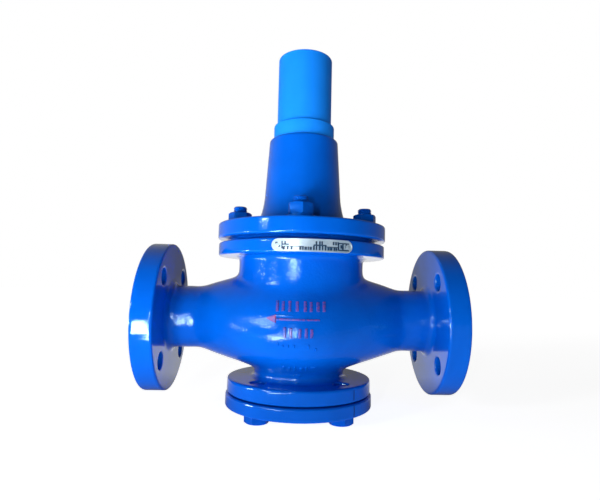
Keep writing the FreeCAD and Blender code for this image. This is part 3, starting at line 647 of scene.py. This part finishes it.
fastenerSettings = {
    "rod": 8.0 * mm, "flats": 24.0 * mm, "clear": 0.05 * mm, "studCircle": 73.4 * mm, "studStart": -3.1,
    "nutTurn": 11.0, "nutEdge": 0.35 * mm, "boltCircle": 62.0 * mm, "boltStart": 45, "headTurn": 28.0,
    "headEdge": 0.4 * mm, "steps": 96, "lead": 0.7 * mm, "coneShare": 0.95, "coneAngle": 30,
    "thread": {"steps": 40, "pitch": 2.0 * mm, "perTurn": 8, "depth": 1.1 * mm, "chamfer": 1.5 * mm}}
rodR, nutFlats = fastenerSettings["rod"], fastenerSettings["flats"]


def threadedRod(radius, low, high, settings, centre=(0, 0), flank=2.6):
    # rod with a cut thread, chamfered at both ends; the flank says how steep the thread's sides are
    steps, pitch, depth, chamfer = (settings[key] for key in ("steps", "pitch", "depth", "chamfer"))
    levels = max(4, int((high - low) / pitch * settings["perTurn"]))
    verts = []
    for level in range(levels + 1):
        z = low + (high - low) * level / levels
        limit = radius - chamfer + min(z - low, high - z)
        for step in range(steps):
            turn = step / steps
            phase = ((z - low) / pitch - turn) % 1.0
            ridge = min(1.0, flank * abs(phase - 0.5))
            reach = min(radius - depth * (1 - ridge), max(limit, radius - chamfer))
            verts.append(onCircle(reach, 2 * math.pi * turn, z, centre))
    return verts, tube(levels + 1, steps)


def hexPrism(flats, low, high, bore, centre=(0, 0), twist=0.0, chamferHigh=True):
    # hexagon with coned corners; a bore of zero leaves it solid
    steps, lead = fastenerSettings["steps"], fastenerSettings["lead"]
    slope = math.tan(math.radians(fastenerSettings["coneAngle"]))
    apothem = flats / 2
    face = apothem * fastenerSettings["coneShare"]
    rings = [(face, low, 0), (0, low, 1)]        # radius (0 is the hexagon's own), height, way of the cone
    rings += [(0, high, -1), (face, high, 0)] if chamferHigh else [(0, high, 0)]
    if bore:
        inner = [(bore, high - lead, 0), (bore, low + lead, 0), (bore + lead, low, 0)]
        rings = [*inner, *rings, (bore + lead, high, 0)]
    verts, faces = [], []
    for index, (radius, z, way) in enumerate(rings):
        for step in range(steps):
            angle = (360.0 * step / steps + 30) % 60 - 30
            hexR = apothem / math.cos(math.radians(angle))
            height = z + way * (hexR - face) * slope
            verts.append(onCircle(radius or hexR, 2 * math.pi * step / steps + twist, height, centre))
        faces += strip(index * steps, (index + 1) % len(rings) * steps, steps)
    return verts, faces if bore else tube(len(rings), steps)


def aroundStem(circle, start):
    # four places on a circle, each with its direction from the stem in degrees
    result = []
    for quarter in range(4):
        turn = start + 90 * quarter
        result.append((*onCircle(circle, math.radians(turn), 0)[:2], turn))
    return result


def cornerTurn(turn, more):
    # the way a hexagon's corner points, in radians
    return math.radians(turn + more - 30)


studHeights, nutHeights = heights("bonnet_studs"), heights("bonnet_nuts")
studParts, nutParts = [], []
for x, y, turn in aroundStem(fastenerSettings["studCircle"], fastenerSettings["studStart"]):
    studParts.append(threadedRod(rodR, *studHeights, fastenerSettings["thread"], (x, y)))
    corner = cornerTurn(turn, fastenerSettings["nutTurn"])
    nutParts.append(hexPrism(nutFlats, *nutHeights, rodR + fastenerSettings["clear"], (x, y), corner))
makePiece("bonnetStudThreads", studParts, fastenerPaint, "bonnet_studs")
makePiece("bonnetNutHexes", nutParts, fastenerPaint, "bonnet_nuts", edge=fastenerSettings["nutEdge"])

boltLow, boltHigh = heights("cover_bolts")
coverLow = heights("bottom_cover")[0]
boltHeads, boltShanks = [], []
for x, y, turn in aroundStem(fastenerSettings["boltCircle"], fastenerSettings["boltStart"]):
    corner = cornerTurn(turn, fastenerSettings["headTurn"])
    boltHeads.append(hexPrism(nutFlats, boltLow, coverLow, 0, (x, y), corner, chamferHigh=False))
    boltShanks.append(threadedRod(rodR, coverLow, boltHigh, fastenerSettings["thread"], (x, y)))
makePiece("coverBoltHeads", boltHeads, fastenerPaint, "cover_bolts", edge=fastenerSettings["headEdge"])
makePiece("coverBoltShanks", boltShanks, fastenerPaint)
print("fasteners made")


# adjusting screw with its turned tip and its square end, and the lock nut

screwSettings = {
    "radius": 10.0 * mm, "clear": 0.4 * mm, "steps": 48, "pitch": 2.5 * mm, "perTurn": 10, "depth": 1.3 * mm,
    "chamfer": 1.5 * mm, "threadFrom": 4 * mm, "tipR": 6 * mm, "tipHeight": 6 * mm, "tipEdge": 0.5 * mm,
    "squareHeight": 16.0 * mm, "squareInside": 2 * mm, "squareHalf": 7.0 * mm, "squareEdge": 1.0 * mm,
    "lockFlats": 30.0 * mm, "lockEdge": 0.35 * mm}
screwR, tipR, squareSide = screwSettings["radius"], screwSettings["tipR"], 2 * screwSettings["squareHalf"]
screwLow, screwHigh = heights("adjusting_screw")
tipHigh = screwLow + screwSettings["tipHeight"]
squareLow = screwHigh - screwSettings["squareHeight"]
screwThread = threadedRod(
    screwR - screwSettings["clear"], screwLow + screwSettings["threadFrom"], squareLow, screwSettings)
tipProfile = [(0, screwLow), (tipR, screwLow), (tipR, tipHigh), (0, tipHigh)]
tip = lathe("screwTip", roundedProfile(tipProfile, screwSettings["tipEdge"]), screwSettings["steps"])
square = newObject("screwSquare", bpy.data.meshes.new("screwSquare"))
squareTall = screwSettings["squareHeight"] + screwSettings["squareInside"]
bm = bmesh.new()
bmesh.ops.create_cube(bm, size=1.0)
bmesh.ops.scale(bm, vec=(squareSide, squareSide, squareTall), verts=bm.verts)
bmesh.ops.translate(bm, vec=(0, 0, screwHigh - squareTall / 2), verts=bm.verts)
bm.to_mesh(square.data)
bm.free()
softEdges(square, screwSettings["squareEdge"], 3)
makePiece("adjustingScrewThread", [screwThread], zincSteel, "adjusting_screw", body="screw")
dress(tip, "screw", zincSteel)
dress(square, "screw", zincSteel)

lockHex = hexPrism(screwSettings["lockFlats"], *heights("lock_nut"), screwR + fastenerSettings["clear"])
makePiece("lockNutHex", [lockHex], zincSteel, "lock_nut", edge=screwSettings["lockEdge"], body="nut")
print("screw and lock nut made")


# springs: coils with ends ground flat

springSettings = {
    "main": {"mean": 25.5 * mm, "wire": 3.5 * mm, "turns": 9, "travel": 17.5 * mm},
    "return": {"mean": 13.5 * mm, "wire": 0.9 * mm, "turns": 5, "travel": 10 * mm},
    "perTurn": 56, "around": 14}


def coilMesh(size, low, high):
    count = round(size["turns"] * springSettings["perTurn"])
    around = springSettings["around"]
    verts = []
    for step in range(count + 1):
        share = step / count
        turn = 2 * math.pi * size["turns"] * share
        z = low + (high - low) * share
        for side in range(around):
            bend = 2 * math.pi * side / around
            reach = size["mean"] + size["wire"] * math.cos(bend)
            verts.append(onCircle(reach, turn, min(high, max(low, z + size["wire"] * math.sin(bend)))))
    return verts, tube(count + 1, around)


for node, name, size, joint in (
        ("main_spring", "mainSpringCoil", springSettings["main"], "adjust_travel"),
        ("return_spring", "returnSpringCoil", springSettings["return"], "valve_travel")):
    low, high = heights(node)
    spring = makePiece(name, [coilMesh(size, low, high)], springWire, node)
    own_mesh(spring)
print("springs made")


# cap: thin tube with a plain top and a collar at its foot

capSettings = {
    "outer": 32.0 * mm, "wall": 3.0 * mm, "top": 4.0 * mm, "collarHeight": 18.0 * mm, "round": 1.4 * mm,
    "steps": 160, "sharp": 40}
capLow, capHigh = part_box("cap")
collarR, capOuter = capHigh.x, capSettings["outer"]
capInner, capCeiling = capOuter - capSettings["wall"], capHigh.z - capSettings["top"]
collarTop = capLow.z + capSettings["collarHeight"]
capProfile = [
    (0, capHigh.z), (capOuter, capHigh.z), (capOuter, collarTop), (collarR, collarTop),
    (collarR, capLow.z), (capInner, capLow.z), (capInner, capCeiling), (0, capCeiling)]
capShell = lathe("capShell", roundedProfile(capProfile, capSettings["round"]), capSettings["steps"])
shadeByAngle(capShell.data, capSettings["sharp"])
dress(capShell, "cap", capPaint, "cap")
print("cap made")


# nameplate: bent strip with a raised rim and plain dark fields

plateSettings = {
    "middle": -84.6, "halfAngle": 24.8,          # degrees round the stem, from +X
    "thick": 0.8 * mm, "gap": 0.02 * mm, "rim": 1.1 * mm, "rimRise": 0.30 * mm, "edge": 0.12 * mm,
    "fieldRings": (0.5, 0.96), "around": 220, "bright": (206, 226, 240), "dull": (176, 202, 222),
    "streak": 22, "streakScale": 160, "wearScale": 50, "rough": (0.26, 0.42), "metallic": 0.55,
    "bump": 0.12, "bumpDepth": 0.2 * mm, "ink": (14, 42, 70), "inkWorn": (52, 96, 132), "inkScale": 700,
    "inkRough": (0.35, 0.5), "inkRoughScale": 300, "barStep": 1.5 * mm, "barRise": 0.1 * mm,
    "bars": [                                    # left, right, top and bottom as shares of half the plate
        (-0.738, -0.687, 0.24, 0.75), (-0.638, -0.595, 0.24, 0.75), (-0.554, -0.503, 0.24, 0.75),
        (-0.346, -0.296, 0.24, 0.75), (-0.285, -0.235, 0.24, 0.75), (-0.224, -0.158, 0.24, 0.75),
        (-0.147, -0.112, 0.24, 0.75), (-0.101, -0.043, 0.24, 0.75), (-0.017, 0.029, 0.05, 0.75),
        (0.045, 0.087, -0.65, -0.09), (0.129, 0.172, -0.65, -0.09), (0.186, 0.225, -0.65, -0.09),
        (-0.001, 0.317, -0.13, 0.09), (0.048, 0.09, 0.05, 0.75), (0.121, 0.172, 0.05, 0.75),
        (0.198, 0.241, 0.05, 0.75), (0.267, 0.317, 0.05, 0.75), (0.336, 0.394, 0.24, 0.75),
        (0.4, 0.471, 0.24, 0.75), (0.489, 0.547, 0.24, 0.75), (0.551, 0.593, 0.24, 0.75),
        (0.474, 0.517, -0.65, -0.14), (0.535, 0.578, -0.65, -0.14), (0.594, 0.632, -0.65, -0.14),
        (0.604, 0.908, -0.55, -0.37), (0.604, 0.908, 0.49, 0.7), (0.604, 0.643, -0.41, 0.53),
        (0.719, 0.762, -0.41, 0.53), (0.811, 0.851, -0.41, 0.23), (0.673, 0.719, -0.23, 0.33),
        (-0.914, -0.856, -0.46, -0.05), (-0.888, -0.821, -0.09, 0.12), (-0.86, -0.795, 0.08, 0.33),
        (-0.768, -0.738, -0.6, 0.61), (-0.738, -0.588, -0.18, 0.02), (-0.699, -0.664, -0.55, -0.14),
        (-0.707, -0.235, 0.16, 0.27), (0.305, 0.609, 0.12, 0.23)]}


def plateFinish():
    look = plateSettings
    material, tree, shader, coords = startMaterial("plateMetal")
    streaks = addNode(tree, "Mapping", {"Scale": (1, 1, look["streak"])}, {"Vector": coords})
    brushed = noiseNode(tree, streaks.outputs[0], look["streakScale"], 5, 0.6)
    worn = clouds(tree, coords, look["wearScale"], 4, "patches")
    colour = twoColours(tree, worn, srgb(*look["bright"]), srgb(*look["dull"]))
    rough = spread(tree, brushed, *blendEdges["streaks"], *look["rough"])
    grooves = bumpNode(tree, brushed, look["bump"], look["bumpDepth"])
    return finished(material, tree, shader, colour, rough, grooves, look["metallic"])


plateMetal = plateFinish()
plateMid = (plateLow.z + plateHigh.z) / 2
plateHalf = (plateHigh.z - plateLow.z) / 2
plateCentre, plateHalfAngle = (math.radians(plateSettings[key]) for key in ("middle", "halfAngle"))
plateReach = topRimR * math.sin(plateHalfAngle) - plateHalf         # half of the straight stretch
plateOuter = topRimR + plateSettings["thick"]
plateField = plateOuter - plateSettings["rimRise"]                   # the face inside the raised rim


def onRim(along, up, radius):
    # a point of the plate: along its middle line and up, wrapped round the flange rim
    return onCircle(radius, plateCentre + math.asin(max(-1, min(1, along / topRimR))), plateMid + up)


def obround(reach, half, count):
    # evenly spread points of a round ended strip; its second half is the first one turned round
    straight = 2 * reach
    whole = straight + math.pi * half
    points = []
    for step in range(count):
        run = 2 * whole * step / count
        sign, run = (1, run) if run < whole else (-1, run - whole)
        along, up = run - reach, -half
        if run >= straight:
            turn = (run - straight) / half - math.pi / 2
            along, up = reach + half * math.cos(turn), half * math.sin(turn)
        points.append((sign * along, sign * up))
    return points


def plateMesh():
    rim, edge = plateSettings["rim"], plateSettings["edge"]
    layers = [
        (0.0, topRimR + plateSettings["gap"]), (0.0, plateOuter - edge), (edge, plateOuter),
        (rim - edge, plateOuter), (rim, plateField)]
    layers += [(plateHalf * share, plateField) for share in plateSettings["fieldRings"]]
    verts, faces = [], []
    count = plateSettings["around"]
    outline = obround(plateReach, plateHalf, count)
    for inset, radius in layers:
        share = (plateHalf - inset) / plateHalf
        for along, up in outline:
            side = max(-plateReach, min(plateReach, along))
            verts.append(onRim(side + (along - side) * share, up * share, radius))
    for layer in range(len(layers) - 1):
        faces += strip(layer * count, (layer + 1) * count, count)
    last = (len(layers) - 1) * count
    half = count // 2
    straight = int(count * plateReach / (plateReach * 2 + math.pi * plateHalf))
    for step in range(straight):
        one, two = last + step, last + half + straight - step
        faces.append((one, one + 1, two - 1, two))
    faces.append(tuple(last + step for step in range(straight, half + 1)))
    faces.append(tuple(last + step % count for step in range(half + straight, count + 1)))
    faces.append(tuple(reversed(range(count))))
    return verts, faces


makePiece("nameplateStrip", [plateMesh()], plateMetal, "nameplate")


# rivets: domed heads of the nameplate

def domes(places, radius, height, steps=28, levels=6):
    # places: (centre, outward direction)
    verts, faces = [], []
    for centre, out in places:
        out = Vector(out).normalized()
        side = out.cross(Vector((0, 0, 1))).normalized()
        up = side.cross(out)
        first = len(verts)
        for level in range(levels):
            lift = level / levels
            reach = radius * math.sqrt(1 - lift ** 2)
            for step in range(steps):
                turn = 2 * math.pi * step / steps
                verts.append(Vector(centre) + out * (height * lift)
                             + side * (reach * math.cos(turn)) + up * (reach * math.sin(turn)))
        verts.append(Vector(centre) + out * height)
        for level in range(levels - 1):
            faces += strip(first + level * steps, first + (level + 1) * steps, steps)
        ring = first + (levels - 1) * steps
        faces += [(ring + step, ring + (step + 1) % steps, len(verts) - 1) for step in range(steps)]
        faces.append(tuple(first + step for step in reversed(range(steps))))
    return verts, faces


def plateInk():
    look = plateSettings
    material, tree, shader, coords = startMaterial("plateInk")
    worn = clouds(tree, coords, look["inkScale"], 3, "dust")
    colour = twoColours(tree, worn, srgb(*look["ink"]), srgb(*look["inkWorn"]))
    rough = clouds(tree, coords, look["inkRoughScale"], 3, "streaks", *look["inkRough"])
    return finished(material, tree, shader, colour, rough)


def wrappedBar(low, high):
    # closed bar on the plate between two (along, up) corners
    foot, top = plateField - plateSettings["barRise"], plateField + plateSettings["barRise"]
    steps = max(2, round((high[0] - low[0]) / plateSettings["barStep"]))
    verts = []
    for step in range(steps + 1):
        along = low[0] + (high[0] - low[0]) * step / steps
        verts += [onRim(along, low[1], foot), onRim(along, low[1], top),
                  onRim(along, high[1], top), onRim(along, high[1], foot)]
    return verts, tube(steps + 1, 4)


barParts = []
for left, right, top, bottom in plateSettings["bars"]:
    half = plateReach + plateHalf
    barParts.append(wrappedBar((left * half, -bottom * plateHalf), (right * half, -top * plateHalf)))
makePiece("nameplateBars", barParts, plateInk())

rivetSettings = {"fromEnd": 3.4, "radius": 2.0 * mm, "height": 0.5 * mm, "sunk": 0.05 * mm}  # first in degrees
rivetPlaces = []
for sign in (-1, 1):
    angle = plateCentre + sign * (plateHalfAngle - math.radians(rivetSettings["fromEnd"]))
    rivetPlaces.append((onCircle(plateField - rivetSettings["sunk"], angle, plateMid), onCircle(1, angle, 0)))
rivetHeads = domes(rivetPlaces, rivetSettings["radius"], rivetSettings["height"])
makePiece("nameplateRivetHeads", [rivetHeads], plateMetal, "nameplate_rivets")
print("nameplate made")


# pale studio: world, floor, lamps and camera

worldSettings = {                               # heights and sides are parts of a direction of length 1
    "lightHeights": (-0.15, 0.4), "light": (0.26, 0.04),      # what lights the object, low and high
    "lightSides": (0.1, 0.9), "lightShare": (1.0, 0.25),      # and its share from front and sides
    "frontBack": (-0.3, 0.7), "seen": (0.12, 1.0),            # what a reflection sees, in front and behind
    "skyHeights": (-0.10, 0.05), "skyShare": (1.0, 0.0),      # and its share under and over the horizon,
    "skySides": (-0.1, 0.15), "skyLeast": (0.45, 0.22)}       # with the least of it on the left and right
floorSettings = {
    "size": 8, "z": -0.5 * mm, "patchScale": 3, "patchShade": 0.97, "lit": 0.90, "seen": 0.28, "shadow": 0.62,
    "near": (0.02, 0.22), "far": (0.2, 1.6), "farSeen": (0.90, 0.985)}
lampSettings = {
    "under": ((-0.15, -1.0, -0.2 * mm), 1.9, 12),          # place, size, watts
    "onFloor": {                                # near end, far end, width, watts
        "rimStrip": ((-0.232, -0.291), (-0.584, -1.421), 0.06, 9.0),
        "stubStrip": ((-0.188, -0.217), (-0.289, -0.764), 0.03, 1.8)},
    "round": {                                  # azimuth, elevation (degrees), distance, width, height, watts
        "keyLamp": (14.0, -2.4, 0.95, 0.020, 0.22, 2.1),
        "softLamp": (51, 11.2, 3.0, 0.44, 0.22, 14),
        "sideLamp": (77, -8.2, 0.95, 0.17, 0.07, 3.2)},
    "middle": (0, 0, 0.17), "stripHeight": 0.5 * mm}


def twoValues(tree, operation, first, second):
    return addNode(tree, "Math", links={0: first, 1: second}, operation=operation).outputs[0]


def added(tree, first, second):
    return addNode(tree, "AddShader", links={0: first, 1: second}).outputs[0]


def mixed(tree, factor, first, second):
    # without a first shader the mix starts from black
    return addNode(tree, "MixShader", links={0: factor, 1: first, 2: second}).outputs[0]


def cameraSees(tree):
    return addNode(tree, "LightPath").outputs["Is Camera Ray"]


def seenDirectly(tree):
    # 1 for what the camera, a reflection or a clear material sees, 0 for what lights the object
    path = addNode(tree, "LightPath").outputs
    value = path["Is Camera Ray"]
    for other in ("Is Glossy Ray", "Is Transmission Ray"):
        value = twoValues(tree, "MAXIMUM", value, path[other])
    return value


def paleWorld():
    # white to the camera; in reflections white behind the object, dimmer in front of it and overhead
    use = worldSettings
    world = bpy.data.worlds.new("studio")
    bpy.context.scene.world = world
    tree = emptyTree(world)
    coords = addNode(tree, "TexCoord").outputs["Generated"]
    x, y, z = addNode(tree, "SeparateXYZ", links={0: coords}).outputs
    light = twoValues(tree, "MULTIPLY", spread(tree, z, *use["lightHeights"], *use["light"]),
                      spread(tree, twoValues(tree, "MULTIPLY", x, x), *use["lightSides"], *use["lightShare"]))
    share = twoValues(tree, "MAXIMUM", spread(tree, z, *use["skyHeights"], *use["skyShare"]),
                      spread(tree, x, *use["skySides"], *use["skyLeast"]))
    seen = twoValues(tree, "MULTIPLY", spread(tree, y, *use["frontBack"], *use["seen"]), share)
    levels = light, twoValues(tree, "MAXIMUM", seen, cameraSees(tree))
    backs = [addNode(tree, "Background", links={"Color": level}).outputs[0] for level in levels]
    addNode(tree, "OutputWorld", links={0: mixed(tree, seenDirectly(tree), *backs)})


def paleFloor():
    # seen as near white with the object's shadow in it; light and other surfaces meet plain pale card
    use = floorSettings
    size, z = use["size"], use["z"]
    corners = [(-size, -size, z), (size, -size, z), (size, size, z), (-size, size, z)]
    floor = newObject("floor", meshFrom("floor", corners, [(0, 1, 2, 3)]))
    material = bpy.data.materials.new("paleFloor")
    tree = emptyTree(material)
    coords = addNode(tree, "TexCoord").outputs["Object"]
    patches = noiseNode(tree, coords, use["patchScale"], 3)

    def card(shade):
        colour = twoColours(tree, patches, (shade,) * 3, (shade * use["patchShade"],) * 3)
        return addNode(tree, "BsdfDiffuse", links={"Color": colour}).outputs[0]

    back = addNode(tree, "SeparateXYZ", links={0: coords}).outputs["Y"]
    near = spread(tree, back, *use["near"], *worldSettings["seen"])
    far = spread(tree, back, *use["far"], *use["farSeen"])
    level = twoValues(tree, "MULTIPLY", twoValues(tree, "MAXIMUM", near, cameraSees(tree)), far)
    pale = addNode(tree, "Emission", links={"Strength": level}).outputs[0]
    shadow = mixed(tree, cameraSees(tree), None, card(use["shadow"]))
    seen = added(tree, added(tree, card(use["seen"]), pale), shadow)
    addNode(tree, "OutputMaterial", links={0: mixed(tree, seenDirectly(tree), card(use["lit"]), seen)})
    material.cycles.emission_sampling = "NONE"
    floor.data.materials.append(material)
    floor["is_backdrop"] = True


def areaLamp(name, width, height, power, place, rotation):
    data = bpy.data.lights.new(name, "AREA")
    data.shape = "RECTANGLE"
    data.size, data.size_y, data.energy = width, height, power
    piece = newObject(name, data)
    piece.location = place
    piece.rotation_euler = rotation
    piece.visible_camera = False
    piece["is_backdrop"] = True
    return piece


def underLamp():
    # wide weak lamp lying on the floor, that lights the undersides as a light table does
    place, size, power = lampSettings["under"]
    piece = areaLamp("underLamp", size, size, power, place, (math.pi, 0, 0))
    piece.visible_glossy = False


def floorLamp(name, near, far, width, power):
    # narrow lamp lying on the floor and facing up, in front of the object
    near, far = Vector(near), Vector(far)
    place = (*(near + far) / 2, lampSettings["stripHeight"])
    turn = math.atan2(far.x - near.x, near.y - far.y)
    areaLamp(name, width, (far - near).length, power, place, (math.pi, 0, turn))


def roundLamp(name, azimuth, elevation, distance, width, height, power):
    # azimuth 0 is at the camera's side of the object and grows towards its left
    turn, lift = math.radians(azimuth), math.radians(elevation)
    away = Vector((-math.sin(turn) * math.cos(lift), -math.cos(turn) * math.cos(lift), math.sin(lift)))
    place = Vector(lampSettings["middle"]) + away * distance
    areaLamp(name, width, height, power, place, (-away).to_track_quat("-Z", "Y").to_euler())


paleWorld()
paleFloor()
underLamp()
for name, values in lampSettings["onFloor"].items():
    floorLamp(name, *values)
for name, values in lampSettings["round"].items():
    roundLamp(name, *values)

cameraSettings = {
    "place": (-0.01548, -0.53225, 0.14248), "yaw": 0.026, "pitch": 0.080, "roll": 0.023, "lens": 27.27,
    "sensor": 36, "nearest": 0.01}
yaw, pitch, roll = (cameraSettings[key] for key in ("yaw", "pitch", "roll"))
forward = Vector((math.sin(yaw) * math.cos(pitch), math.cos(yaw) * math.cos(pitch), math.sin(pitch)))
right = Vector((math.cos(yaw), -math.sin(yaw), 0))
upward = right.cross(forward)
axisX = right * math.cos(roll) + upward * math.sin(roll)
axisY = upward * math.cos(roll) - right * math.sin(roll)
cameraData = bpy.data.cameras.new("camera")
cameraData.lens = cameraSettings["lens"]
cameraData.sensor_width = cameraSettings["sensor"]
cameraData.clip_start = cameraSettings["nearest"]
cameraPiece = newObject("camera", cameraData)
turnMatrix = Matrix((axisX, axisY, -forward)).transposed().to_4x4()
cameraPiece.matrix_world = Matrix.Translation(cameraSettings["place"]) @ turnMatrix
bpy.context.scene.camera = cameraPiece
bpy.context.scene.view_settings.view_transform = "Standard"
print("studio made")

low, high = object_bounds()
print("bounds:", [round(v, 4) for v in (*low, *high)])
